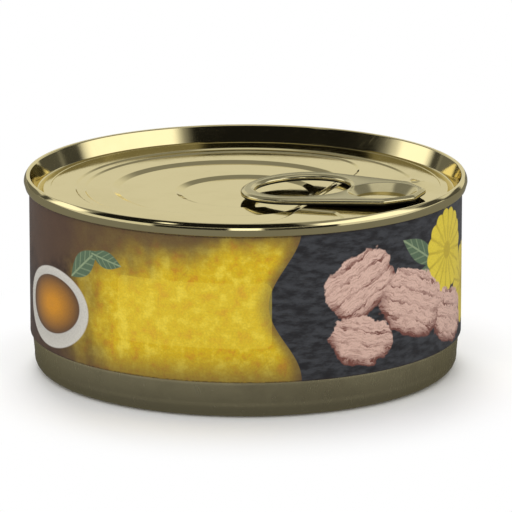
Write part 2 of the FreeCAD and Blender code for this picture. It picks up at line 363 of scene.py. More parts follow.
class ShaderGroup:
    """A shader effect with named inputs and outputs, built once and used in many materials."""

    def __init__(self, name: str, inputs: dict[str, tuple[str, object]], outputs: dict[str, str],
                 draw: Callable[[Graph, dict[str, Socket]], dict[str, Socket]]) -> None:
        """Build the group.

        Args:
            name: Name of the group.
            inputs: For each input, its socket kind and its usual value.
            outputs: For each output, its socket kind.
            draw: Function that writes the nodes and returns the output sockets by name.
        """
        self.tree = bpy.data.node_groups.new(name, "ShaderNodeTree")
        for label, (kind, usual) in inputs.items():
            socket = self.tree.interface.new_socket(label, in_out="INPUT", socket_type=kind)
            if usual is not None:
                socket.default_value = usual
        for label, kind in outputs.items():
            self.tree.interface.new_socket(label, in_out="OUTPUT", socket_type=kind)
        graph = Graph(self.tree)
        entry = graph.node("NodeGroupInput")
        leave = graph.node("NodeGroupOutput")
        results = draw(graph, {label: entry.outputs[label] for label in inputs})
        for label, socket in results.items():
            graph.feed(leave.inputs[label], socket)

    def place(self, graph: Graph, **inputs: Feed) -> dict[str, Socket]:
        """Use the group in a tree.

        Args:
            graph: Tree that the group goes into.
            inputs: Values or sockets by input name, with _ for each blank.

        Returns:
            The group's output sockets by name.
        """
        made = graph.node("ShaderNodeGroup", node_tree=self.tree)
        for label, value in inputs.items():
            graph.feed(made.inputs[label.replace("_", " ")], value)
        return {socket.name: socket for socket in made.outputs}


FLOAT = "NodeSocketFloat"
VECTOR = "NodeSocketVector"


# ----------------------------------------------------------------------------- finishes
@dataclass(frozen=True)
class MetalFinish:
    """Lacquered tinplate.

    Smudges shift the colour towards deep, and low down the colour darkens to deep as painted shade near
    the table. A piece may mark parts of its mesh as brushed or as underside; these take the brushed
    colour, or a near-black underside colour that is painted shade under the tab.
    """

    name: str
    colour: Colour
    deep: Colour
    roughness: float
    smudge: float = 0.05
    grain: float = 0.0
    ripple: float = 0.02
    # Heights over which the colour fades up from deep: painted shade low down near the table.
    painted_shade_low: float = 0.0
    painted_shade_high: float = 0.0
    grazing: Colour = (0.93, 0.89, 0.72)
    brushed: Optional[Colour] = None
    brushed_roughness: float = 0.3
    # Near-black colour of the underside: painted shade under the tab.
    underside_painted_shade: Colour = (0.012, 0.01, 0.006)
    grain_turn: float = 0.0

    def build(self, wear: ShaderGroup) -> bpy.types.Material:
        """Make the material.

        Args:
            wear: Group that draws smudges, fine scratches and the sheet's ripple.

        Returns:
            The finished material.
        """
        material, graph, shader = new_material(self.name)
        place = graph.node("ShaderNodeTexCoord").outputs["Object"]
        lined_up = graph.stretched(place, (1.0, 1.0, 1.0), self.grain_turn)
        marks = wear.place(graph, Place=lined_up, Grain=self.grain, Ripple=self.ripple)
        colour = graph.mix(marks["Smudge"], self.colour, self.deep)
        # Low down the colour darkens towards deep: painted shade near the table.
        if self.painted_shade_high > self.painted_shade_low:
            low = graph.ramp(graph.split(place)["Z"], self.painted_shade_low, self.painted_shade_high, 1.0, 0.0)
            colour = graph.mix(low, colour, self.deep)
        shader.inputs["Metallic"].default_value = 1.0
        shader.inputs["Specular Tint"].default_value = (*self.grazing, 1.0)
        rough = graph.ramp(marks["Smudge"], 0.0, 1.0, self.roughness, self.roughness + self.smudge)
        if self.brushed:
            # Parts marked as underside take a near-black, rough, non-metallic colour: painted shade under
            # the tab.
            web = graph.node("ShaderNodeAttribute", attribute_name="brushed").outputs["Fac"]
            under = graph.node("ShaderNodeAttribute", attribute_name="underside").outputs["Fac"]
            colour = graph.mix(web, colour, self.brushed)
            colour = graph.mix(under, colour, self.underside_painted_shade)
            rough = graph.ramp(web, 0.0, 1.0, rough, self.brushed_roughness)
            rough = graph.ramp(under, 0.0, 1.0, rough, 0.9)
            graph.feed(shader.inputs["Metallic"], graph.minus(1.0, under))
        graph.feed(shader.inputs["Base Color"], colour)
        scratched = graph.times(marks["Scratch"], 0.08)
        graph.feed(shader.inputs["Roughness"], graph.plus(rough, scratched))
        relief(graph, shader, marks["Height"])
        return material


def wear_group() -> ShaderGroup:
    """Smudges, hairline scratches, brushed grain and a slow ripple for bare metal.

    Returns:
        The group.
    """
    def draw(graph: Graph, given: dict[str, Socket]) -> dict[str, Socket]:
        """Write the nodes.

        Args:
            graph: Tree of the group.
            given: The group's inputs by name.

        Returns:
            The group's outputs by name.
        """
        place = given["Place"]
        cloud = graph.noise(place, 70.0, 4.0, 0.6)
        wave = graph.noise(place, 110.0, 1.0)
        fine = graph.noise(graph.stretched(place, (900.0, 26000.0, 900.0)), 1.0, 2.0)
        hair = graph.noise(graph.stretched(place, (250.0, 9000.0, 250.0), 0.6), 1.0, 1.0)
        height = graph.plus(graph.times(wave, given["Ripple"]), graph.times(fine, given["Grain"]))
        smudge, scratch = graph.ramp(cloud, 0.42, 0.72), graph.ramp(hair, 0.66, 0.74)
        return {"Smudge": smudge, "Scratch": scratch, "Height": height}

    inputs = {"Place": (VECTOR, None), "Grain": (FLOAT, 0.0), "Ripple": (FLOAT, 0.02)}
    outputs = {"Smudge": FLOAT, "Scratch": FLOAT, "Height": FLOAT}
    return ShaderGroup("sheet_metal_wear", inputs, outputs, draw)


# ----------------------------------------------------------------------------- turned pieces
class TurnedShell:
    """Geometry Nodes tree that turns a profile once round the upright axis."""

    def __init__(self) -> None:
        """Build the tree once for every turned piece."""
        tree = bpy.data.node_groups.new("turned_shell", "GeometryNodeTree")
        self.tree = tree
        tree.interface.new_socket("Profile", in_out="INPUT", socket_type="NodeSocketGeometry")
        self.steps = tree.interface.new_socket("Turn Steps", in_out="INPUT", socket_type="NodeSocketInt")
        self.radius = tree.interface.new_socket("Print Radius", in_out="INPUT", socket_type=FLOAT)
        self.finish = tree.interface.new_socket("Finish", in_out="INPUT",
                                                socket_type="NodeSocketMaterial")
        tree.interface.new_socket("Shell", in_out="OUTPUT", socket_type="NodeSocketGeometry")
        graph = Graph(tree)
        entry = graph.node("NodeGroupInput")
        leave = graph.node("NodeGroupOutput")
        steps = entry.outputs["Turn Steps"]
        row = graph.plus(steps, 1.0)
        count = graph.node("GeometryNodeAttributeDomainSize", {0: entry.outputs["Profile"]})
        grid = graph.node("GeometryNodeMeshGrid", {"Vertices X": count.outputs["Point Count"],
                                                   "Vertices Y": row})
        number = graph.node("GeometryNodeInputIndex").outputs[0]
        along = graph.math("FLOOR", graph.math("DIVIDE", graph.plus(number, 0.5), row))
        around = graph.minus(number, graph.times(along, row))
        turn = graph.times(graph.math("DIVIDE", around, steps), math.tau)
        position = graph.node("GeometryNodeInputPosition").outputs[0]
        inputs = {"Geometry": entry.outputs["Profile"], "Value": position, "Index": along}
        sample = graph.node("GeometryNodeSampleIndex", inputs, data_type="FLOAT_VECTOR", domain="POINT")
        inputs = {"Vector": sample.outputs["Value"], "Angle": turn}
        spun = graph.node("ShaderNodeVectorRotate", inputs, rotation_type="Z_AXIS")
        inputs = {"Geometry": grid.outputs["Mesh"], "Name": "turn", "Value": turn}
        marked = graph.node("GeometryNodeStoreNamedAttribute", inputs, data_type="FLOAT", domain="POINT")
        placed = graph.node("GeometryNodeSetPosition", {"Geometry": marked.outputs[0],
                                                        "Position": spun.outputs[0]})
        stored = graph.node("GeometryNodeInputNamedAttribute", {"Name": "turn"}, data_type="FLOAT")
        height = graph.split(position)["Z"]
        arc = graph.times(graph.minus(stored.outputs[0], math.pi),
                         entry.outputs["Print Radius"])
        flat = graph.node("ShaderNodeCombineXYZ", {0: arc, 1: height})
        inputs = {"Geometry": placed.outputs[0], "Name": "UVMap", "Value": flat.outputs[0]}
        mapped = graph.node("GeometryNodeStoreNamedAttribute", inputs, data_type="FLOAT2", domain="CORNER")
        merged = graph.node("GeometryNodeMergeByDistance", {"Geometry": mapped.outputs[0],
                                                            "Distance": 0.002 * MM})
        outward = graph.node("GeometryNodeFlipFaces", {"Mesh": merged.outputs[0]})
        smooth = graph.node("GeometryNodeSetShadeSmooth", {"Geometry": outward.outputs[0]})
        real = graph.node("GeometryNodeRealizeInstances", {"Geometry": smooth.outputs[0]})
        dressed = graph.node("GeometryNodeSetMaterial", {"Geometry": real.outputs[0],
                                                         "Material": entry.outputs["Finish"]})
        graph.feed(leave.inputs[0], dressed.outputs[0])

    def turn(self, name: str, profile: Sequence[Point2], finish: bpy.types.Material, steps: int,
             print_radius: float = 1.0) -> bpy.types.Object:
        """Turn a profile into a plain mesh.

        Args:
            name: Name of the piece.
            profile: Radius and height of each point, with the outside on the right-hand side.
            finish: Material of the piece.
            steps: Straight pieces in a full turn.
            print_radius: Radius at which the map round the piece has its true length.

        Returns:
            The piece, with a map in metres whose middle faces -Y.
        """
        mesh = bpy.data.meshes.new(f"{name}_profile")
        edges = [(number, number + 1) for number in range(len(profile) - 1)]
        mesh.from_pydata([(0.0, radius, height) for radius, height in profile], edges, [])
        carrier = bpy.data.objects.new(f"{name}_profile", mesh)
        bpy.context.scene.collection.objects.link(carrier)
        modifier = carrier.modifiers.new("turned_shell", "NODES")
        modifier.node_group = self.tree
        modifier[self.steps.identifier] = steps
        modifier[self.radius.identifier] = print_radius
        modifier[self.finish.identifier] = finish
        seen = carrier.evaluated_get(bpy.context.evaluated_depsgraph_get())
        made = bpy.data.meshes.new_from_object(seen)
        made.name = name
        made.materials.clear()
        made.materials.append(finish)
        made.polygons.foreach_set("material_index", [0] * len(made.polygons))
        piece = bpy.data.objects.new(name, made)
        bpy.context.scene.collection.objects.link(piece)
        bpy.data.objects.remove(carrier)
        return piece


# ----------------------------------------------------------------------------- pressed sheets
def outward_normals(path: np.ndarray) -> np.ndarray:
    """Right-hand normals of a closed path, stretched at corners so that insets stay parallel.

    Args:
        path: Corners of the path, anticlockwise.

    Returns:
        One vector for each corner.
    """
    side = np.roll(path, -1, axis=0) - path
    side /= np.linalg.norm(side, axis=1)[:, None]
    after = np.stack([side[:, 1], -side[:, 0]], axis=1)
    before = np.roll(after, 1, axis=0)
    return (after + before) / (1.0 + np.sum(after * before, axis=1))[:, None]


def depth_inside(places: np.ndarray, path: np.ndarray) -> np.ndarray:
    """Measure how far inside a closed path each place is.

    Args:
        places: Places to measure.
        path: Corners of the path.

    Returns:
        The distance to the path, below zero outside it.
    """
    side = np.roll(path, -1, axis=0) - path
    length = np.sum(side * side, axis=1)
    result = np.empty(len(places))
    for first in range(0, len(places), 1500):
        part = places[first:first + 1500, None, :] - path[None, :, :]
        share = np.clip(np.sum(part * side, axis=2) / length, 0.0, 1.0)
        away = part - share[:, :, None] * side
        nearest = np.sqrt(np.min(np.sum(away * away, axis=2), axis=1))
        above = part[:, :, 1] >= 0.0
        above_next = part[:, :, 1] - side[:, 1] >= 0.0
        turned = part[:, :, 1] * side[:, 0] - part[:, :, 0] * side[:, 1]
        crossed = (above != above_next) & ((turned > 0.0) == (side[:, 1] > 0.0))
        inside = np.sum(crossed, axis=1) % 2 == 1
        result[first:first + 1500] = np.where(inside, nearest, -nearest)
    return result


def circle_path(radius: float, count: int, centre: Point2 = (0.0, 0.0)) -> np.ndarray:
    """Points round a circle, anticlockwise from the +Y side."""
    angle = np.arange(count) * math.tau / count
    return np.stack([centre[0] - radius * np.sin(angle), centre[1] + radius * np.cos(angle)], axis=1)


def turned(places: np.ndarray, angle: float) -> np.ndarray:
    """Places turned about the origin."""
    cos, sin = math.cos(angle), math.sin(angle)
    return places @ np.array([[cos, sin], [-sin, cos]])


@dataclass
class ContourMesh:
    """Flat triangulation whose edges follow every contour that it is given."""

    places: list = field(default_factory=list)
    edges: list = field(default_factory=list)

    def follow(self, path: np.ndarray) -> None:
        """Add a closed contour.

        Args:
            path: Its corners.
        """
        first = len(self.places)
        count = len(path)
        self.places += [Vector(place) for place in path]
        self.edges += [(first + number, first + (number + 1) % count) for number in range(count)]

    def follow_insets(self, path: np.ndarray, insets: Iterable[float]) -> None:
        """Add contours that lie inside a path.

        Args:
            path: Corners of the path.
            insets: Distance of each contour inside it.
        """
        normals = outward_normals(path)
        for inset in insets:
            self.follow(path - normals * inset)

    def triangulate(self) -> tuple[np.ndarray, np.ndarray]:
        """Join the contours up.

        Returns:
            The places and, for each triangle, the numbers of its three corners.
        """
        result = delaunay_2d_cdt(self.places, self.edges, [], 0, 1e-8, False)
        places = np.array([tuple(place) for place in result[0]])
        return places, np.array(result[2])


@dataclass(frozen=True)
class PressedStep:
    """One step down inside a closed outline."""

    path: np.ndarray
    drop: float
    width: float
    ease: float

    def insets(self) -> list[float]:
        """Where the surface bends.

        Returns:
            Distances inside the outline.
        """
        ends = (0.0, self.width)
        shares = (-1.4, -1.0, -0.6, -0.2, 0.2, 0.6, 1.0, 1.4)
        return [end + share * self.ease for end in ends for share in shares]

    def fall(self, places: np.ndarray) -> np.ndarray:
        """How far the surface has dropped at each place."""
        return self.drop * eased_ramp(depth_inside(places, self.path), self.width, self.ease)


def rounded_d(radius: float, shift: float, flat: float, corner: float, count: int = 300) -> np.ndarray:
    """Round outline with one flat side at +X.

    Args:
        radius: Radius of the round part.
        shift: How far its centre lies towards -X.
        flat: Distance of the flat side from the origin.
        corner: Radius of the corners.
        count: Rough number of points.

    Returns:
        The outline, anticlockwise.
    """
    corner_x = flat - corner
    corner_y = math.sqrt((radius - corner) ** 2 - (corner_x + shift) ** 2)
    meet = math.atan2(corner_y, corner_x + shift)
    step = math.tau * radius / count

    def arc(x: float, y: float, reach: float, start: float, end: float) -> list[Point2]:
        """Evenly spaced points of an arc without its last one.

        Args:
            x: Place of its centre.
            y: Place of its centre.
            reach: Its radius.
            start: Angle at which it starts.
            end: Angle at which it ends.

        Returns:
            The points in order.
        """
        number = max(2, round(reach * abs(end - start) / step))
        angles = [start + (end - start) * index / number for index in range(number)]
        return [(x + reach * math.cos(angle), y + reach * math.sin(angle)) for angle in angles]

    number = max(2, round(2 * corner_y / step))
    points = [(flat, -corner_y + 2 * corner_y * index / number) for index in range(number)]
    points += arc(corner_x, corner_y, corner, 0.0, meet)
    points += arc(-shift, 0.0, radius, meet, math.tau - meet)
    points += arc(corner_x, -corner_y, corner, -meet, 0.0)
    return np.array(points)


# ----------------------------------------------------------------------------- body and sleeve
@dataclass
class CanBody:
    """Drawn wall and bottom, filled and closed under the lid."""

    wall: float = field(default_factory=lambda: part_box("can_body")[1].x)
    top: float = field(default_factory=lambda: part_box("can_body")[1].z)
    seat: float = field(default_factory=lambda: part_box("lid")[0].z)
    shoulder: float = field(default_factory=lambda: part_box("label")[0].z)
    draw: float = 0.35 * MM
    corner: float = 2.4 * MM
    foot_width: float = 3.1 * MM
    foot_rise: float = 0.8 * MM
    sheet: float = 0.5 * MM
    bead_drop: float = 0.3 * MM
    steps: int = 360

    def build(self, shells: TurnedShell, finish: bpy.types.Material) -> bpy.types.Object:
        """Turn the wall and the beaded bottom.

        Args:
            shells: Tree that turns profiles.
            finish: Metal of the body.

        Returns:
            The finished piece.
        """
        base = self.wall - self.draw
        foot = base - self.corner - self.foot_width
        high = self.foot_rise
        low = high - self.bead_drop
        corners = [
            (0.0, high, 0.0),
            (15.5 * MM, high, 1.5 * MM), (16.5 * MM, low, 1.5 * MM),
            (24.0 * MM, low, 1.5 * MM), (25.0 * MM, high, 1.5 * MM),
            (foot - 1.2 * MM, high, 0.8 * MM), (foot, 0.0, 0.5 * MM),
            (base, 0.0, self.corner),
            (base, self.corner * 1.3, 3.0 * MM), (self.wall, self.shoulder - 0.5 * MM, 3.0 * MM),
            (self.wall, self.top, 0.0),
            (self.wall - self.sheet, self.top, 0.0), (self.wall - self.sheet, self.seat, 0.0),
            (0.0, self.seat, 0.0),
        ]
        piece = shells.turn("can_wall", fillet_path(corners, closed=False), finish, self.steps)
        settle(piece, "body_metal", "can_body")
        return piece


@dataclass
class PrintedSleeve:
    """Thin printed wrap, a hair proud of the wall below it."""

    outside: float = field(default_factory=lambda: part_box("label")[1].x)
    low: float = field(default_factory=lambda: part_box("label")[0].z)
    high: float = field(default_factory=lambda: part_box("label")[1].z)
    sheet: float = 0.4 * MM
    edge: float = 0.16 * MM
    steps: int = 360

    def build(self, shells: TurnedShell, finish: bpy.types.Material) -> bpy.types.Object:
        """Turn the sleeve with its map for the print.

        Args:
            shells: Tree that turns profiles.
            finish: Printed finish.

        Returns:
            The finished piece.
        """
        inside = self.outside - self.sheet
        corners = [(inside, self.low, 0.0), (self.outside, self.low, self.edge),
                   (self.outside, self.high, self.edge), (inside, self.high, 0.0)]
        path = fillet_path(corners, closed=True)
        path.append(path[0])
        piece = shells.turn("printed_sleeve", path, finish, self.steps, self.outside)
        settle(piece, "label_print", "label")
        return piece


# ----------------------------------------------------------------------------- lid
@dataclass
class SeamedLid:
    """Double seam, wall inside the rim, groove and terraced panel as one closed shell."""

    seam: float = field(default_factory=lambda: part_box("lid")[1].x)
    top: float = field(default_factory=lambda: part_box("lid")[1].z)
    seat: float = field(default_factory=lambda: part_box("lid")[0].z)
    seam_height: float = 2.6 * MM
    seam_width: float = 1.15 * MM
    roll: tuple = ((0.0, 12.0), (0.015, 45.0), (0.04, 54.0), (0.35, 59.0), (0.73, 68.0), (0.78, 78.0),
                   (1.1, 81.0), (1.2, 84.0), (1.35, 90.0))
    plug: float = 41.6 * MM
    groove_outside: float = 41.1 * MM
    groove_inside: float = 40.0 * MM
    groove_depth: float = 0.7 * MM
    panel_depth: float = 2.75 * MM
    join: float = 39.5 * MM
    score: float = 38.5 * MM
    score_half: float = 0.16 * MM
    score_depth: float = 0.09 * MM
    drop_rise: float = 0.12 * MM
    turn: float = math.radians(-21.0)
    rivet_place: float = 28.6 * MM
    rivet_radius: float = 4.55 * MM
    rivet_rise: float = 0.16 * MM
    steps: int = 384

    @property
    def panel(self) -> float:
        """Height of the outer terrace."""
        return self.top - self.panel_depth

    def shoulder(self) -> list[tuple[float, float, float]]:
        """Rolled shoulder of the seam, from its widest place up to the crest.

        The roll is given as the surface's tilt in degrees at each depth in millimetres.

        Returns:
            Corners of the profile, without rounding.
        """
        depths = np.linspace(self.roll[0][0], self.roll[-1][0], 46)
        tilts = np.radians(np.interp(depths, *zip(*self.roll)))
        reach = self.seam
        points = [(reach, self.top - depths[-1] * MM, 0.0)]
        for index in range(len(depths) - 1, 0, -1):
            tilt = (tilts[index] + tilts[index - 1]) / 2
            reach -= (depths[index] - depths[index - 1]) * MM / math.tan(tilt)
            points.append((reach, self.top - depths[index - 1] * MM, 0.0))
        return points

    def rim_profile(self) -> list[Point2]:
        """Profile from the underside round the seam to the edge of the panel.

        Returns:
            Radius and height of each point.
        """
        low = self.top - self.seam_height
        groove = self.panel - self.groove_depth
        corners = [
            (0.0, self.seat, 0.0), (self.plug, self.seat, 0.2 * MM), (self.plug, low, 0.0),
            (self.seam - 0.35 * MM, low, 0.3 * MM),
            *self.shoulder(),
            (self.seam - self.seam_width, self.top - 0.05 * MM, 0.3 * MM),
            (self.groove_outside, groove, 0.4 * MM),
            (self.groove_inside, groove, 0.38 * MM),
            (self.groove_inside, self.panel, 0.28 * MM),
            (self.join, self.panel, 0.0),
        ]
        return fillet_path(corners, closed=False, steps=8)

    def shelf_path(self) -> np.ndarray:
        """Outline of the shallow shelf, with the notch that leaves the rivet's island.

        Returns:
            The outline, anticlockwise.
        """
        radius, inset, spread, root = 33.6 * MM, 24.0 * MM, 13.9 * MM, 15.4 * MM
        corner = 1.2 * MM
        meet = math.radians(34.0)
        arc_start = meet + 2.0 * MM / radius
        count = 200
        angles = [arc_start + (math.tau - 2 * arc_start) * index / count for index in range(count + 1)]
        arc = [(radius * math.cos(angle), radius * math.sin(angle), 0.0) for angle in angles]
        end_x, end_y = radius * math.cos(meet), radius * math.sin(meet)
        points = [(end_x, end_y, corner), *arc, (end_x, -end_y, corner), (inset, -spread, corner),
                  (root, -spread, 0.0), (root, spread, 0.0), (inset, spread, corner)]
        return np.array(fillet_path(points, closed=True))

    def panel_steps(self) -> list[PressedStep]:
        """Shelf and the three rings.

        Returns:
            The steps from the outside in.
        """
        ease = 0.16 * MM
        first = rounded_d(radius=32.3 * MM, shift=0.0, flat=17.0 * MM, corner=14.0 * MM)
        second = rounded_d(radius=23.8 * MM, shift=2.7 * MM, flat=15.4 * MM, corner=12.5 * MM)
        third = circle_path(radius=13.9 * MM, count=150)
        return [
            PressedStep(self.shelf_path(), drop=0.25 * MM, width=0.42 * MM, ease=0.12 * MM),
            PressedStep(first, drop=0.5 * MM, width=1.0 * MM, ease=ease),
            PressedStep(second, drop=0.5 * MM, width=1.4 * MM, ease=ease),
            PressedStep(third, drop=0.5 * MM, width=1.4 * MM, ease=ease),
        ]

    def drop_mark(self) -> np.ndarray:
        """Small embossed drop that points away from the nose, on the outer terrace.

        Returns:
            The drop's outline.
        """
        centre_x, centre_y, radius, tail = 29.9 * MM, 15.2 * MM, 0.75 * MM, 2.1 * MM
        spread = math.radians(65)
        count = 26
        angles = [spread + (math.tau - 2 * spread) * index / count for index in range(count + 1)]
        points = [(radius * math.cos(angle), radius * math.sin(angle)) for angle in angles]
        drop = turned(np.array([(tail, 0.0), *points]), math.radians(35))
        return drop + np.array([centre_x, centre_y])

    def panel_mesh(self) -> tuple[np.ndarray, np.ndarray]:
        """Terraced panel with the score line, in the frame of the whole can.

        Returns:
            Corner places and triangles.
        """
        mesh = ContourMesh()
        mesh.follow(circle_path(self.join, self.steps))
        half = self.score_half
        for reach in (-1.4, -1.0, 0.0, 1.0, 1.4):
            mesh.follow(circle_path(self.score + reach * half, self.steps))
        steps = self.panel_steps()
        shelf, first = steps[0], steps[1]
        for step in steps:
            mesh.follow_insets(turned(step.path, self.turn), step.insets())
        mesh.follow_insets(turned(first.path, self.turn), (0.42 * MM, 0.5 * MM, 0.58 * MM))
        drop = self.drop_mark()
        mesh.follow_insets(turned(drop, self.turn), (-0.12 * MM, 0.0, 0.12 * MM, 0.3 * MM))
        flat, triangles = mesh.triangulate()
        local = turned(flat, -self.turn)
        height = -np.maximum(shelf.fall(local), first.fall(local))
        height -= steps[2].fall(local) + steps[3].fall(local)
        reach = np.abs(np.linalg.norm(flat, axis=1) - self.score)
        height -= self.score_depth * (1.0 - smooth_step(0.0, half * 1.05, reach))
        height += self.drop_rise * smooth_step(-0.1 * MM, 0.25 * MM, depth_inside(local, drop))
        return np.column_stack([flat, height + self.panel]), triangles

    def build(self, shells: TurnedShell, finish: bpy.types.Material) -> list[bpy.types.Object]:
        """Build the lid and the head of its rivet.

        Args:
            shells: Tree that turns profiles.
            finish: Metal of the lid.

        Returns:
            The finished pieces.
        """
        rim = shells.turn("seamed_lid", self.rim_profile(), finish, self.steps)
        places, triangles = self.panel_mesh()
        panel = make_object("panel", places, triangles)
        panel.data.materials.append(finish)
        join_meshes(rim, panel)
        settle(rim, "lid_metal", "lid")
        low, high = self.panel - 0.3 * MM, self.panel + self.rivet_rise
        corners = [(0.0, low, 0.0), (4.2 * MM, low, 0.0), (4.2 * MM, self.panel, 0.0),
                   (self.rivet_radius, self.panel + 0.06 * MM, 0.05 * MM),
                   (self.rivet_radius, high, 0.06 * MM), (0.0, high, 0.0)]
        path = fillet_path(corners, closed=False, support=0.02 * MM)
        rivet = shells.turn("rivet_head", path, finish, 96)
        middle = Matrix.Rotation(self.turn, 4, "Z") @ Vector((self.rivet_place, 0.0, 0.0))
        rivet.data.transform(Matrix.Translation(middle))
        settle(rivet, "lid_metal", "lid")
        return [rim, rivet]


def join_meshes(first: bpy.types.Object, second: bpy.types.Object) -> None:
    """Sew a second mesh onto a first along the edge that they share, and remove the second.

    Args:
        first: Object that takes in the other's mesh.
        second: Object that is used up.
    """
    sewn = bmesh.new()
    sewn.from_mesh(first.data)
    sewn.from_mesh(second.data)
    bmesh.ops.remove_doubles(sewn, verts=sewn.verts, dist=0.001 * MM)
    sewn.to_mesh(first.data)
    sewn.free()
    for polygon in first.data.polygons:
        polygon.use_smooth = True
    bpy.data.objects.remove(second)


# ----------------------------------------------------------------------------- pull tab
@dataclass
class PullTab:
    """Ring to pull by, with curled edges, a flat web and a dish round the rivet.

    Plan sizes are measured from the rivet, with the nose at +X.
    """

    turn: float = math.radians(-21.0)
    rivet_place: float = 28.6 * MM
    top: float = 37.6 * MM
    tilt: float = math.radians(1.5)
    nose_place: Point2 = (7.9 * MM, 3.5 * MM)
    corner_place: Point2 = (3.0 * MM, 8.6 * MM)
    corner: float = 2.2 * MM
    loop_radius: float = 12.6 * MM
    loop_place: float = 16.9 * MM
    tip_flat: float = 0.07
    opening_radius: float = 9.35 * MM
    opening_place: float = 16.6 * MM
    curl: float = 0.66 * MM
    round_width: float = 0.25 * MM
    bevel_width: float = 0.72 * MM
    bevel_ease: float = 0.05 * MM
    web_drop: float = 0.1 * MM
    web_edge: Point2 = (0.74 * MM, 0.98 * MM)
    brushed_edge: Point2 = (0.68 * MM, 0.88 * MM)
    bend_start: float = 11.5 * MM
    bend_drop: float = 0.35 * MM
    dish_radius: float = 6.85 * MM
    dish_hole: float = 4.68 * MM
    dish_depth: float = 1.42 * MM
    dish_ease: float = 0.26 * MM
    dish_sheet: float = 0.3 * MM
    edge_contours: tuple[float, ...] = (0.0, 0.01, 0.03, 0.06, 0.1, 0.16, 0.22, 0.3, 0.38, 0.46, 0.52, 0.6,
                                        0.66, 0.72, 0.78, 0.88, 0.98)
    dish_contours: tuple[float, ...] = (-1.2, -0.4, -0.26, -0.13, 0.0, 0.13, 0.26, 0.34)

    def outline(self) -> np.ndarray:
        """Outer edge of the tab.

        Returns:
            The edge's points, anticlockwise.
        """
        (corner_x, corner_y), (nose_x, nose_y) = self.corner_place, self.nose_place
        reach = math.hypot(corner_x + self.loop_place, corner_y)
        meet = math.atan2(corner_y, corner_x + self.loop_place) + math.acos(self.loop_radius / reach)
        count = 90
        angles = [meet + (math.tau - 2 * meet) * index / count for index in range(count + 1)]
        flatter = [math.cos(angle) + self.tip_flat * max(-math.cos(angle), 0.0) ** 3 for angle in angles]
        loop = [(-self.loop_place + self.loop_radius * share, self.loop_radius * math.sin(angle), 0.0)
                for share, angle in zip(flatter, angles)]
        points = [(nose_x, -nose_y, self.corner), (nose_x, nose_y, self.corner),
                  (corner_x, corner_y, self.corner), *loop, (corner_x, -corner_y, self.corner)]
        return self.spread(np.array(fillet_path(points, closed=True, steps=8)))

    @staticmethod
    def spread(path: np.ndarray, gap: float = 1.0 * MM) -> np.ndarray:
        """Divide the long straight sides of a path.

        Args:
            path: Corners of the path.
            gap: Rough length of a division.

        Returns:
            The path with more points.
        """
        result = []
        for start, end in zip(path, np.roll(path, -1, axis=0)):
            number = max(1, round(float(np.linalg.norm(end - start)) / gap))
            result += [start + (end - start) * index / number for index in range(number)]
        return np.array(result)

    def plan(self, outline: np.ndarray) -> tuple[np.ndarray, np.ndarray]:
        """Flat mesh of the tab with its opening and its hole.

        Args:
            outline: Outer edge of the tab.

        Returns:
            Corner places and triangles.
        """
        opening = circle_path(self.opening_radius, 120, (-self.opening_place, 0.0))
        mesh = ContourMesh()
        insets = [share * MM for share in self.edge_contours]
        mesh.follow_insets(outline, insets)
        mesh.follow_insets(opening, [-inset for inset in insets])
        rings = [self.dish_hole + reach * MM for reach in (0.0, 0.05, 0.12)]
        rings += [self.dish_radius + reach * MM for reach in self.dish_contours]
        for radius in rings:
            mesh.follow(circle_path(radius, 120))
        flat, triangles = mesh.triangulate()
        centre = flat[triangles].mean(axis=1)
        sliver = 0.0002 * MM
        kept = depth_inside(centre, outline) > sliver
        for hole in (opening, circle_path(self.dish_hole, 120)):
            kept &= depth_inside(centre, hole) < -sliver
        return flat, triangles[kept]

    @staticmethod
    def quarter(depth: np.ndarray, radius: float) -> np.ndarray:
        """Rise of a quarter round, from 0 at the edge to 1."""
        return np.sqrt(np.clip(1.0 - (1.0 - np.minimum(depth / radius, 1.0)) ** 2, 0.0, 1.0))

    def edge_roll(self, depth: np.ndarray) -> np.ndarray:
        """Rise of a curled edge's upper side: a tight round and then a flatter bevel."""
        bevel = eased_ramp(depth, self.bevel_width - self.bevel_ease, self.bevel_ease)
        return 0.5 * self.quarter(depth, self.round_width) + 0.5 * bevel

    def sides(self, flat: np.ndarray, outer: np.ndarray,
              inner: np.ndarray) -> tuple[np.ndarray, np.ndarray]:
        """Heights of the tab's two sides above its middle.

        Args:
            flat: Places in plan.
            outer: Distance of each from the outer edge.
            inner: Distance of each from the opening.

        Returns:
            Heights of the upper side and of the underside.
        """
        edge = np.minimum(outer, inner)
        radial = np.hypot(flat[:, 0], flat[:, 1])
        plate = self.curl - self.web_drop
        rise = self.curl * self.edge_roll(outer) * self.edge_roll(inner)
        rise -= self.web_drop * smooth_step(*self.web_edge, edge)
        under = -self.curl * self.quarter(outer, self.curl) * self.quarter(inner, self.curl)
        cone = eased_ramp(self.dish_radius - radial, self.dish_radius - self.dish_hole, self.dish_ease)
        upper = rise - (plate + self.dish_depth) * np.clip(cone, 0.0, 1.0)
        sheet = np.minimum((radial - self.dish_hole) * 0.8, self.dish_sheet)
        near_dish = radial < self.dish_radius + 0.4 * MM
        lower = np.where(near_dish, np.minimum(under, upper - sheet), under)
        upper, lower = (np.where(edge < 1e-7, 0.0, side) for side in (upper, lower))
        lower = np.where(radial < self.dish_hole + 1e-6, upper, lower)
        past = np.maximum(-flat[:, 0] - self.bend_start, 0.0)
        bend = self.bend_drop * (past / past.max()) ** 2
        return upper - bend, lower - bend

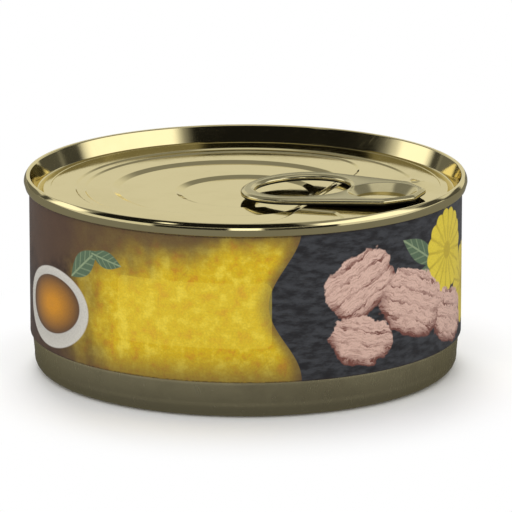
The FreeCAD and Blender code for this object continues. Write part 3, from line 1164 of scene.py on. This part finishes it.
    def build(self, finish: bpy.types.Material) -> bpy.types.Object:
        """Build the tab as one closed shell.

        Args:
            finish: Metal of the tab.

        Returns:
            The finished piece.
        """
        outline = self.outline()
        flat, triangles = self.plan(outline)
        outer = np.maximum(depth_inside(flat, outline), 0.0)
        from_opening = np.hypot(flat[:, 0] + self.opening_place, flat[:, 1])
        inner = np.maximum(from_opening - self.opening_radius, 0.0)
        edge = np.minimum(outer, inner)
        sides = self.sides(flat, outer, inner)
        places = np.concatenate([np.column_stack([flat, side]) for side in sides])
        faces = np.concatenate([triangles, triangles[:, ::-1] + len(flat)])
        tab = make_object("pull_ring", places, faces)
        radial = np.hypot(flat[:, 0], flat[:, 1])
        matt = smooth_step(*self.brushed_edge, edge)
        matt *= smooth_step(self.dish_radius - 0.2 * MM, self.dish_radius + 0.3 * MM, radial)
        nothing = np.zeros(len(flat))
        # The tab's underside is marked for the near-black colour: painted shade under the tab.
        underside_painted_shade = smooth_step(0.0, self.curl * 0.05, edge)
        for label, values in (("brushed", [matt, nothing]), ("underside", [nothing, underside_painted_shade])):
            layer = tab.data.attributes.new(label, "FLOAT", "POINT")
            layer.data.foreach_set("value", np.concatenate(values).astype(np.float32))
        self.sew(tab)
        seat = Matrix.Rotation(self.turn, 4, "Z")
        seat @= Matrix.Translation((self.rivet_place, 0.0, self.top - self.curl))
        tab.data.transform(seat @ Matrix.Rotation(-self.tilt, 4, "Y"))
        tab.data.materials.append(finish)
        settle(tab, "tab_metal", "pull_tab")
        return tab

    @staticmethod
    def sew(tab: bpy.types.Object) -> None:
        """Join the two sides along their edges and drop loose points.

        Args:
            tab: The tab, as two separate sides.
        """
        sewn = bmesh.new()
        sewn.from_mesh(tab.data)
        bmesh.ops.remove_doubles(sewn, verts=sewn.verts, dist=0.0005 * MM)
        loose = [vertex for vertex in sewn.verts if not vertex.link_faces]
        bmesh.ops.delete(sewn, geom=loose, context="VERTS")
        sewn.to_mesh(tab.data)
        sewn.free()


# ----------------------------------------------------------------------------- printed design
class Shape(Enum):
    """Printed shapes that the design repeats."""

    OVAL = "oval"
    PANEL = "panel"
    LEAF = "leaf"
    ROSETTE = "rosette"
    MORSEL = "morsel"


@dataclass(frozen=True)
class Motif:
    """One printed shape: its place on the sleeve in millimetres, its size and its turn."""

    shape: Shape
    place: Point2
    size: Point2
    turn: float = 0.0
    strength: float = 1.0


def local_frame(graph: Graph, given: dict[str, Socket]) -> Socket:
    """Bring a place on the sleeve into a motif's own frame.

    Args:
        graph: Tree of the group.
        given: The group's inputs by name.

    Returns:
        The place in millimetres from the motif's centre.
    """
    away = graph.vector("SUBTRACT", given["Place"], given["Centre"])
    turned_by = {"Vector": away, "Angle": given["Turn"]}
    return graph.node("ShaderNodeVectorRotate", turned_by, rotation_type="Z_AXIS").outputs[0]


def motif_inputs() -> dict[str, tuple[str, object]]:
    """Inputs that every motif group has."""
    return {"Place": (VECTOR, None), "Centre": (VECTOR, None), "Size": (VECTOR, (1.0, 1.0, 1.0)),
            "Turn": (FLOAT, 0.0)}


def draw_oval(graph: Graph, given: dict[str, Socket]) -> dict[str, Socket]:
    """Write an oval: its mask, and how deep inside it a place lies.

    Args:
        graph: Tree of the group.
        given: The group's inputs by name.

    Returns:
        The group's outputs by name.
    """
    scaled = graph.vector("DIVIDE", local_frame(graph, given), given["Size"])
    reach = graph.vector("LENGTH", scaled, output=1)
    return {"Mask": graph.ramp(reach, 1.0, 0.96), "Tone": graph.minus(1.0, reach, clamp=True)}


def draw_panel(graph: Graph, given: dict[str, Socket]) -> dict[str, Socket]:
    """Write a rounded panel: its mask, and the line inside its edge.

    Args:
        graph: Tree of the group.
        given: The group's inputs by name.

    Returns:
        The group's outputs by name.
    """
    size = graph.split(given["Size"])
    spot = graph.split(graph.vector("ABSOLUTE", local_frame(graph, given)))
    corner = size["Z"]

    def beyond(axis: str) -> Socket:
        """Distance past the straight part along one axis."""
        return graph.minus(spot[axis], graph.minus(size[axis], corner))

    over_x, over_y = beyond("X"), beyond("Y")
    square = graph.plus(*(graph.math("POWER", graph.math("MAXIMUM", over, 0.0), 2.0)
                          for over in (over_x, over_y)))
    inner = graph.math("MINIMUM", graph.math("MAXIMUM", over_x, over_y), 0.0)
    edge = graph.minus(graph.plus(graph.math("SQRT", square), inner), corner)
    line = graph.math("ABSOLUTE", graph.plus(edge, 0.9))
    return {"Mask": graph.ramp(edge, 0.06, -0.06), "Tone": graph.ramp(line, 0.2, 0.12)}


def draw_leaf(graph: Graph, given: dict[str, Socket]) -> dict[str, Socket]:
    """Write a pointed leaf: its mask, and its veins.

    Args:
        graph: Tree of the group.
        given: The group's inputs by name.

    Returns:
        The group's outputs by name.
    """
    scaled = graph.vector("DIVIDE", local_frame(graph, given), given["Size"])
    spot = graph.split(scaled)
    along, across = spot["X"], graph.math("ABSOLUTE", spot["Y"])
    width = graph.math("SINE", graph.times(graph.plus(along, 0.5, clamp=True), math.pi))
    edge = graph.minus(graph.times(width, 0.5), across)
    slanted = graph.minus(along, graph.times(across, 0.5))
    side = graph.math("SINE", graph.times(slanted, 34.0))
    rib = graph.times(graph.ramp(side, 0.55, 0.95), 0.5)
    middle = graph.ramp(across, 0.06, 0.02)
    return {"Mask": graph.ramp(edge, 0.0, 0.05), "Tone": graph.math("MAXIMUM", middle, rib)}


def draw_rosette(graph: Graph, given: dict[str, Socket]) -> dict[str, Socket]:
    """Write a round flower head: its mask, and the shade between its petals.

    Args:
        graph: Tree of the group.
        given: The group's inputs by name.

    Returns:
        The group's outputs by name.
    """
    scaled = graph.vector("DIVIDE", local_frame(graph, given), given["Size"])
    spot = graph.split(scaled)
    reach = graph.vector("LENGTH", scaled, output=1)
    angle = graph.math("ARCTAN2", spot["Y"], spot["X"])
    wave = graph.math("ABSOLUTE", graph.math("COSINE", graph.times(angle, 8.0)))
    rim = graph.math("MULTIPLY_ADD", wave, 0.07, 0.93)
    gap = graph.times(graph.ramp(wave, 0.55, 0.0), graph.ramp(reach, 0.2, 0.7, 0.35, 0.9))
    inner = graph.times(graph.ramp(reach, 0.62, 0.52), graph.ramp(wave, 0.9, 0.5, 0.1, 0.6))
    heart = graph.times(graph.ramp(reach, 0.24, 0.18), 0.9)
    tone = graph.math("MAXIMUM", graph.math("MAXIMUM", gap, inner), heart)
    return {"Mask": graph.ramp(graph.minus(reach, rim), 0.02, -0.02), "Tone": tone}


def draw_morsel(graph: Graph, given: dict[str, Socket]) -> dict[str, Socket]:
    """Write a soft-edged slab with a layered grain.

    Args:
        graph: Tree of the group.
        given: The group's inputs by name.

    Returns:
        The group's outputs by name.
    """
    own = local_frame(graph, given)
    wobble = graph.noise(graph.vector("ADD", own, given["Centre"]), 0.3, 3.0, 0.6, "Color")
    shift = graph.vector("MULTIPLY", graph.vector("SUBTRACT", wobble, (0.5, 0.5, 0.5)), (5.0, 3.2, 0.0))
    bent = graph.vector("ADD", own, shift)
    spot = graph.split(graph.vector("DIVIDE", bent, given["Size"]))
    power_x, power_y = (graph.math("POWER", graph.math("ABSOLUTE", spot[axis]), 2.6) for axis in "XY")
    reach = graph.plus(power_x, power_y)
    fine = graph.noise(graph.stretched(bent, (0.35, 2.6, 1.0)), 1.0, 3.0, 0.6)
    rows = graph.math("MULTIPLY_ADD", graph.split(bent)["Y"], 2.2, graph.times(fine, 6.0))
    layers = graph.math("SINE", rows)
    shade = graph.times(graph.ramp(reach, 0.3, 1.0), graph.ramp(spot["Y"], 0.5, -0.8))
    lines = graph.times(graph.ramp(layers, 0.7, 1.0), graph.ramp(wobble, 0.4, 0.6, 0.2, 0.9))
    streaks = graph.times(graph.ramp(fine, 0.45, 0.7), 0.5)
    tone = graph.plus(graph.math("MAXIMUM", lines, streaks), shade, clamp=True)
    return {"Mask": graph.ramp(reach, 1.0, 0.86), "Tone": tone}


DRAWERS = {Shape.OVAL: draw_oval, Shape.PANEL: draw_panel, Shape.LEAF: draw_leaf,
           Shape.ROSETTE: draw_rosette, Shape.MORSEL: draw_morsel}


@dataclass(frozen=True)
class PrintFinish:
    """Varnished print on the sleeve: fields of colour with plain shapes on them."""

    name: str = "varnished_print"
    gold: Colour = srgb(214, 180, 8)
    amber: Colour = srgb(206, 138, 18)
    straw: Colour = srgb(234, 208, 60)
    brown: Colour = srgb(88, 66, 50)
    umber: Colour = srgb(48, 36, 32)
    slate: Colour = srgb(64, 66, 70)
    coal: Colour = srgb(37, 37, 40)
    pink: Colour = srgb(218, 182, 166)
    rose: Colour = srgb(118, 72, 62)
    lemon: Colour = srgb(224, 202, 54)
    olive: Colour = srgb(172, 146, 26)
    green: Colour = srgb(88, 110, 84)
    mint: Colour = srgb(150, 166, 128)
    cream: Colour = srgb(206, 202, 192)
    grey: Colour = srgb(150, 148, 142)
    low: float = 7.3
    high: float = 36.0
    slate_from: float = 7.6
    slate_sway: float = 3.2
    slate_to: float = 78.0
    back_from: float = 92.0
    lap_from: float = 126.0
    panel_corner: float = 1.4

    def fields(self, graph: Graph, flat: Socket) -> Socket:
        """Lay the large fields of colour.

        Args:
            graph: Tree of the material.
            flat: Place on the sleeve in millimetres.

        Returns:
            The colour so far.
        """
        spot = graph.split(flat)
        around, height = spot["X"], spot["Y"]
        broad = graph.noise(graph.stretched(flat, (1.0, 0.6, 1.0), 0.5), 0.09, 3.0, 0.55)
        cloud = graph.noise(flat, 0.34, 4.0, 0.62)
        stone = graph.noise(graph.stretched(flat, (0.5, 1.4, 1.0), 0.4), 0.55, 4.0, 0.65)
        drift = graph.minus(broad, 0.5)

        gold = graph.mix(graph.ramp(cloud, 0.5, 0.3, 0.0, 0.75), self.gold, self.amber)
        gold = graph.mix(graph.times(graph.ramp(cloud, 0.48, 0.66), 0.85), gold, self.straw)
        dark = graph.mix(graph.ramp(cloud, 0.35, 0.7), self.umber, self.brown)
        shade = graph.plus(around, graph.times(drift, 26.0))
        colour = graph.mix(graph.ramp(shade, -24.0, -44.0), gold, dark)

        high = graph.minus(graph.plus(height, graph.times(drift, 14.0)), graph.times(around, 0.16))
        colour = graph.mix(graph.times(graph.ramp(high, 29.0, 37.0), 0.9), colour, self.brown)
        low = graph.times(graph.ramp(height, 14.0, 6.5), 0.7)
        colour = graph.mix(low, colour, self.brown)

        wave = graph.math("SINE", graph.times(height, 0.21))
        edge = graph.minus(around, graph.math("MULTIPLY_ADD", wave, self.slate_sway, self.slate_from))
        colour = graph.mix(graph.ramp(edge, -3.4, 0.0, 0.0, 0.75), colour, self.brown)
        slate = graph.mix(graph.ramp(stone, 0.35, 0.65), self.coal, self.slate)
        ahead = graph.ramp(around, self.slate_to + 0.2, self.slate_to)
        colour = graph.mix(graph.times(graph.ramp(edge, -0.1, 0.1), ahead), colour, slate)

        back = graph.ramp(graph.math("ABSOLUTE", around), self.back_from, self.back_from + 0.2)
        return graph.mix(back, colour, graph.mix(graph.ramp(cloud, 0.3, 0.75), self.brown, self.umber))

    def motifs(self) -> list[tuple[Motif, Colour, Colour, float]]:
        """Printed shapes on the fields.

        Returns:
            The shapes from the bottom up, each with its colour, its second colour and the second's share.
        """
        leaf, oval, panel = Shape.LEAF, Shape.OVAL, Shape.PANEL
        rosette, morsel = Shape.ROSETTE, Shape.MORSEL
        return [
            (Motif(panel, (-10.5, 20.5), (15.5, 6.4), 0.0, 0.3), self.straw, self.straw, 0.0),
            (Motif(oval, (-46.0, 16.6), (12.6, 8.2), 0.12), self.cream, self.grey, 0.9),
            (Motif(oval, (-46.0, 17.2), (10.0, 5.9), 0.12), self.brown, self.amber, 1.3),
            (Motif(leaf, (-35.0, 27.4), (10.0, 4.8), 0.7), self.green, self.mint, 0.8),
            (Motif(leaf, (-29.0, 29.2), (8.0, 3.6), -0.2), self.green, self.mint, 0.8),
            (Motif(leaf, (39.0, 29.0), (13.0, 4.6), 2.6), self.green, self.mint, 0.8),
            (Motif(leaf, (41.0, 24.0), (11.0, 4.2), 3.5), self.green, self.mint, 0.8),
            (Motif(rosette, (61.5, 18.0), (8.2, 8.2), 0.3), self.lemon, self.olive, 0.7),
            (Motif(rosette, (49.5, 27.2), (8.4, 8.4), 0.1), self.lemon, self.olive, 0.7),
            (Motif(morsel, (51.0, 13.8), (8.0, 5.4), -0.3), self.pink, self.rose, 1.1),
            (Motif(morsel, (23.5, 25.2), (8.2, 6.2), 0.5), self.pink, self.rose, 1.1),
            (Motif(morsel, (37.0, 19.4), (9.6, 6.6), -0.35), self.pink, self.rose, 1.1),
            (Motif(morsel, (23.5, 13.9), (7.4, 4.8), -0.2), self.pink, self.rose, 1.1),
            (Motif(panel, (112.0, 21.6), (15.0, 9.0)), self.cream, self.brown, 0.7),
            (Motif(panel, (-112.0, 21.6), (15.0, 9.0)), self.cream, self.brown, 0.7),
        ]

    def build(self, groups: dict[Shape, ShaderGroup], wear: ShaderGroup) -> bpy.types.Material:
        """Make the material.

        Args:
            groups: Motif groups by shape.
            wear: Group that draws small marks.

        Returns:
            The finished material.
        """
        material, graph, shader = new_material(self.name)
        mapped = graph.node("ShaderNodeUVMap", uv_map="UVMap").outputs[0]
        flat = graph.vector("MULTIPLY", mapped, (1000.0, 1000.0, 0.0))
        spot = graph.split(flat)
        height = spot["Y"]
        colour = self.fields(graph, flat)
        for motif, first, second, share in self.motifs():
            drawn = groups[motif.shape].place(graph, Place=flat, Centre=(*motif.place, 0.0),
                                              Size=(*motif.size, self.panel_corner), Turn=-motif.turn)
            tone = graph.times(drawn["Tone"], share)
            mask = graph.times(drawn["Mask"], motif.strength)
            colour = graph.mix(mask, colour, graph.mix(tone, first, second))
        grain = graph.noise(flat, 2.6, 3.0, 0.7)
        colour = graph.mix(graph.ramp(grain, 0.35, 0.7, 0.0, 0.16), colour, self.umber)
        # Darker in grainy patches along the top and bottom edges: painted shade under the seam at the top
        # edge, and the same darkening at the bottom edge.
        at_low = graph.ramp(height, self.low + 0.45, self.low + 0.05)
        at_high = graph.ramp(height, self.high - 0.4, self.high - 0.05)
        edge_darkening = graph.times(graph.math("MAXIMUM", at_low, at_high), graph.ramp(grain, 0.4, 0.6, 0.25, 0.8))
        colour = graph.mix(edge_darkening, colour, self.umber)
        graph.feed(shader.inputs["Base Color"], colour)

        marks = wear.place(graph, Place=graph.node("ShaderNodeTexCoord").outputs["Object"], Ripple=0.015)
        graph.feed(shader.inputs["Roughness"], graph.ramp(marks["Smudge"], 0.0, 1.0, 0.36, 0.46))
        shader.inputs["Specular IOR Level"].default_value = 0.25
        shader.inputs["Coat Weight"].default_value = 0.1
        shader.inputs["Coat Roughness"].default_value = 0.18
        lap = graph.ramp(graph.math("ABSOLUTE", spot["X"]), self.lap_from, self.lap_from + 0.3)
        relief(graph, shader, graph.math("MULTIPLY_ADD", lap, 0.06, marks["Height"]))
        return material


# ----------------------------------------------------------------------------- studio
@dataclass(frozen=True)
class LightPatch:
    """Dark flag or light box on the tent.

    Bearings are in degrees from behind the can, clockwise as seen from above, and heights are in
    degrees above the table.
    """

    bearings: Point2
    heights: Point2
    soft: float
    glow: float


@dataclass
class Studio:
    """White table, soft lamps and a reflection tent with flags and light boxes."""

    camera_place: tuple[float, float, float] = (0.0, -1.0494, 0.2837)
    camera_aim: tuple[float, float, float] = (0.00204, 0.0, 0.0217)
    lens: float = 385.0
    tent_radius: float = 4.0
    floor_radius: float = 3.8
    sky: float = 0.9
    patches: tuple[LightPatch, ...] = (
        LightPatch((146.0, 190.0), (21.0, 62.0), 4.0, 0.01),
        LightPatch((-190.0, -88.0), (21.0, 62.0), 4.0, 0.01),
        LightPatch((55.0, 76.0), (10.5, 27.0), 3.0, 0.06),
        LightPatch((34.0, 58.0), (0.0, 13.0), 2.5, 0.09),
        LightPatch((-57.0, -48.0), (3.0, 20.0), 2.5, 0.07),
        LightPatch((-49.0, -22.0), (0.0, 13.0), 2.5, 0.16),
        LightPatch((80.0, 140.0), (14.0, 42.0), 4.0, 1.4),
        LightPatch((-84.0, -60.0), (11.0, 30.0), 3.0, 1.4),
        LightPatch((-138.0, -128.0), (37.0, 44.0), 3.0, 1.5),
        LightPatch((132.0, 190.0), (0.0, 12.0), 1.5, 0.02),
        LightPatch((-190.0, -132.0), (0.0, 12.0), 1.5, 0.02),
        LightPatch((172.0, 190.0), (1.0, 14.0), 1.5, 1.6),
        LightPatch((-190.0, -172.0), (1.0, 14.0), 1.5, 1.6),
    )

    def build(self) -> None:
        """Set up camera, floor, tent, world and lamps."""
        self.camera()
        self.floor()
        self.tent()
        self.world()
        self.lamps()
        bpy.context.scene.view_settings.view_transform = "Standard"

    def camera(self) -> None:
        """Long lens, a little above the lid."""
        data = bpy.data.cameras.new("camera")
        data.lens = self.lens
        data.sensor_width = 36.0
        data.clip_end = 50.0
        camera = bpy.data.objects.new("camera", data)
        bpy.context.scene.collection.objects.link(camera)
        place = Vector(self.camera_place)
        camera.location = place
        camera.rotation_euler = (Vector(self.camera_aim) - place).to_track_quat("-Z", "Y").to_euler()
        bpy.context.scene.camera = camera

    @staticmethod
    def only_seen_by(target: bpy.types.Object, **kinds: bool) -> None:
        """Limit which rays see an object.

        Args:
            target: The object.
            kinds: Kinds of ray that see it.
        """
        for kind in ("camera", "diffuse", "glossy", "transmission", "volume_scatter", "shadow"):
            setattr(target, f"visible_{kind}", kinds.get(kind, False))

    def disc(self, name: str, height: float) -> bpy.types.Object:
        """Large round stage plate.

        Args:
            name: Name of the plate.
            height: Height at which it lies.

        Returns:
            The plate.
        """
        rim = [(self.floor_radius * math.cos(index * math.tau / 96),
                self.floor_radius * math.sin(index * math.tau / 96), height) for index in range(96)]
        plate = make_object(name, rim, [range(96)])
        return plate

    def floor(self) -> None:
        """White table that clears to plain white away from the can."""
        plate = self.disc("table", 0.0)
        self.only_seen_by(plate, camera=True, diffuse=True, shadow=True)
        material, graph, shader = new_material("white_table")
        shader.inputs["Base Color"].default_value = (0.93, 0.93, 0.93, 1.0)
        shader.inputs["Roughness"].default_value = 1.0
        shader.inputs["Specular IOR Level"].default_value = 0.0
        place = graph.node("ShaderNodeTexCoord").outputs["Object"]
        far = graph.ramp(graph.vector("LENGTH", place, output=1), 0.043, 0.074)
        seen = graph.node("ShaderNodeLightPath").outputs["Is Camera Ray"]
        inputs = {0: graph.times(far, seen), 1: shader.outputs[0], 2: glow(graph, 1.0)}
        graph.feed(surface(material), graph.node("ShaderNodeMixShader", inputs).outputs[0])
        plate.data.materials.append(material)
        # Shiny surfaces see, in place of the white table, a plate that glows dim grey and darker still
        # towards the can: a painted reflection of the table, with painted shade near the can.
        mirror = self.disc("table_in_reflections", 0.0)
        self.only_seen_by(mirror, glossy=True)
        reflected_table_glow, graph, _ = new_material("table_in_reflections")
        place = graph.node("ShaderNodeTexCoord").outputs["Object"]
        level = graph.ramp(graph.vector("LENGTH", place, output=1), 0.043, 0.075, 0.11, 0.215)
        graph.feed(surface(reflected_table_glow), glow(graph, level))
        reflected_table_glow.cycles.emission_sampling = "NONE"
        mirror.data.materials.append(reflected_table_glow)

    def tent(self) -> None:
        """Dome that only shiny surfaces see: white low down, grey above, with a flag and boxes."""
        ball = bmesh.new()
        bmesh.ops.create_uvsphere(ball, u_segments=64, v_segments=32, radius=self.tent_radius)
        mesh = bpy.data.meshes.new("reflection_tent")
        ball.to_mesh(mesh)
        ball.free()
        dome = bpy.data.objects.new("reflection_tent", mesh)
        bpy.context.scene.collection.objects.link(dome)
        self.only_seen_by(dome, glossy=True)
        material, graph, _ = new_material("reflection_tent")
        place = graph.vector("NORMALIZE", graph.node("ShaderNodeTexCoord").outputs["Object"])
        spot = graph.split(place)
        to_degrees = 180.0 / math.pi
        height = graph.times(graph.math("ARCSINE", spot["Z"]), to_degrees)
        bearing = graph.times(graph.math("ARCTAN2", spot["X"], spot["Y"]), to_degrees)

        def window(value: Socket, limits: Point2, soft: float) -> Socket:
            """1 between two limits, fading to 0 over the soft width."""
            low, high = limits
            return graph.times(graph.ramp(value, low - soft, low + soft),
                               graph.ramp(value, high - soft, high + soft, 1.0, 0.0))

        level = graph.ramp(height, 19.0, 34.0, 0.78, 0.26)
        level = graph.ramp(height, 64.0, 70.0, level, 0.7)
        for patch in self.patches:
            mask = graph.times(window(bearing, patch.bearings, patch.soft),
                               window(height, patch.heights, patch.soft * 0.6))
            kept = graph.times(level, graph.minus(1.0, mask))
            level = graph.math("MULTIPLY_ADD", mask, patch.glow, kept)
        graph.feed(surface(material), glow(graph, level))
        material.cycles.emission_sampling = "NONE"
        mesh.materials.append(material)

    def world(self) -> None:
        """Even pale light from everywhere, plain white to the camera."""
        world = bpy.data.worlds.new("studio")
        bpy.context.scene.world = world
        world.use_nodes = True
        graph = Graph(world.node_tree)
        rays = graph.node("ShaderNodeLightPath").outputs
        seen = graph.math("MAXIMUM", rays["Is Camera Ray"], rays["Is Transmission Ray"])
        strength = graph.math("MULTIPLY_ADD", seen, 1.0 - self.sky, self.sky)
        back = world.node_tree.nodes["Background"]
        back.inputs["Color"].default_value = (1.0, 1.0, 1.0, 1.0)
        graph.feed(back.inputs["Strength"], strength)
        world.cycles_visibility.glossy = False

    def lamps(self) -> None:
        """Two wide soft lamps, which shiny surfaces do not see."""
        for name, place, size, power in (("key", (-0.1, 1.1, 1.2), 0.8, 11.0),
                                         ("fill", (-0.5, -1.0, 1.4), 1.0, 3.0)):
            data = bpy.data.lights.new(name, "AREA")
            data.shape = "DISK"
            data.size = size
            data.energy = power
            lamp = bpy.data.objects.new(name, data)
            bpy.context.scene.collection.objects.link(lamp)
            lamp.location = place
            lamp.rotation_euler = (-Vector(place)).to_track_quat("-Z", "Y").to_euler()
            lamp.visible_glossy = False
            lamp.visible_camera = False


# ----------------------------------------------------------------------------- assembly
@dataclass
class FoodCan:
    """The whole can: its finishes and its pieces."""

    # The wall's lowest 6 mm darken towards deep: painted shade near the table.
    body_metal: MetalFinish = MetalFinish(
        "drawn_wall_metal", (0.90, 0.80, 0.48), (0.68, 0.60, 0.36), 0.2, painted_shade_low=0.0005, painted_shade_high=0.006)
    lid_metal: MetalFinish = MetalFinish(
        "gold_lacquered_lid", (0.80, 0.70, 0.385), (0.76, 0.66, 0.35), 0.06, grain=0.0008, ripple=0.003)
    tab_metal: MetalFinish = MetalFinish(
        "brushed_tab_metal", (0.72, 0.64, 0.37), (0.62, 0.55, 0.31), 0.14, grain=0.003,
        brushed=(0.72, 0.66, 0.42), brushed_roughness=0.4, grain_turn=math.radians(21))

    def build(self) -> list[bpy.types.Object]:
        """Build every piece in order.

        Returns:
            The pieces.
        """
        wear = wear_group()
        outputs = {"Mask": FLOAT, "Tone": FLOAT}
        groups = {shape: ShaderGroup(f"motif_{shape.value}", motif_inputs(), outputs, draw)
                  for shape, draw in DRAWERS.items()}
        shells = TurnedShell()
        pieces = [CanBody().build(shells, self.body_metal.build(wear))]
        pieces.append(PrintedSleeve().build(shells, PrintFinish().build(groups, wear)))
        pieces += SeamedLid().build(shells, self.lid_metal.build(wear))
        pieces.append(PullTab().build(self.tab_metal.build(wear)))
        return pieces


def main() -> None:
    """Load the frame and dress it."""
    logging.basicConfig(level=logging.INFO, format="%(message)s")
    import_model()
    for piece in FoodCan().build():
        LOG.info("%s: built, %d corners", piece.name, len(piece.data.vertices))
    Studio().build()


if __name__ == "__main__":
    main()
